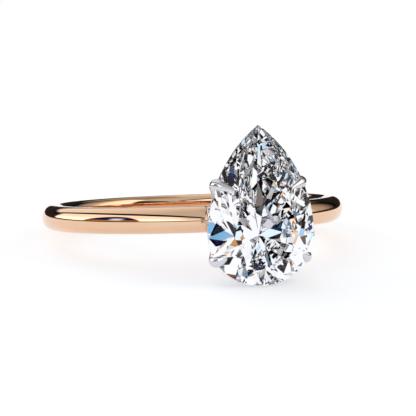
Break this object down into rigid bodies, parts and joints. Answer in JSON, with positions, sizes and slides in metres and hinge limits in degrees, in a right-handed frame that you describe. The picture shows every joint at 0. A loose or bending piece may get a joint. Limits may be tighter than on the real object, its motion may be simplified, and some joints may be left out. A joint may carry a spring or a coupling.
{
  "type": "engagement ring",
  "caption": "Solitaire ring: a plain rose-gold band with a raised white-gold claw basket that holds one large pear-shaped brilliant.",
  "frame": {"origin": "centre of the finger hole, in the band's middle plane", "axes": "+Z along the axis of the finger hole, towards the pear's tip; -Y from the hole's centre out through the stone's table; +X across the stone"},
  "size_m": [0.0195, 0.0245, 0.0092],
  "materials": {
    "rose_gold": "polished rose gold",
    "white_gold": "polished, rhodium-plated white gold",
    "diamond": "polished, faceted, colourless"
  },
  "bodies": {
    "root": {"shank": "rose_gold", "head_saddle": "white_gold", "base_rail": "white_gold", "gallery_rail": "white_gold", "claw_upper_left": "white_gold", "claw_upper_right": "white_gold", "claw_lower_left": "white_gold", "claw_lower_right": "white_gold", "pear_diamond": "diamond"}
  },
  "joints": []
}
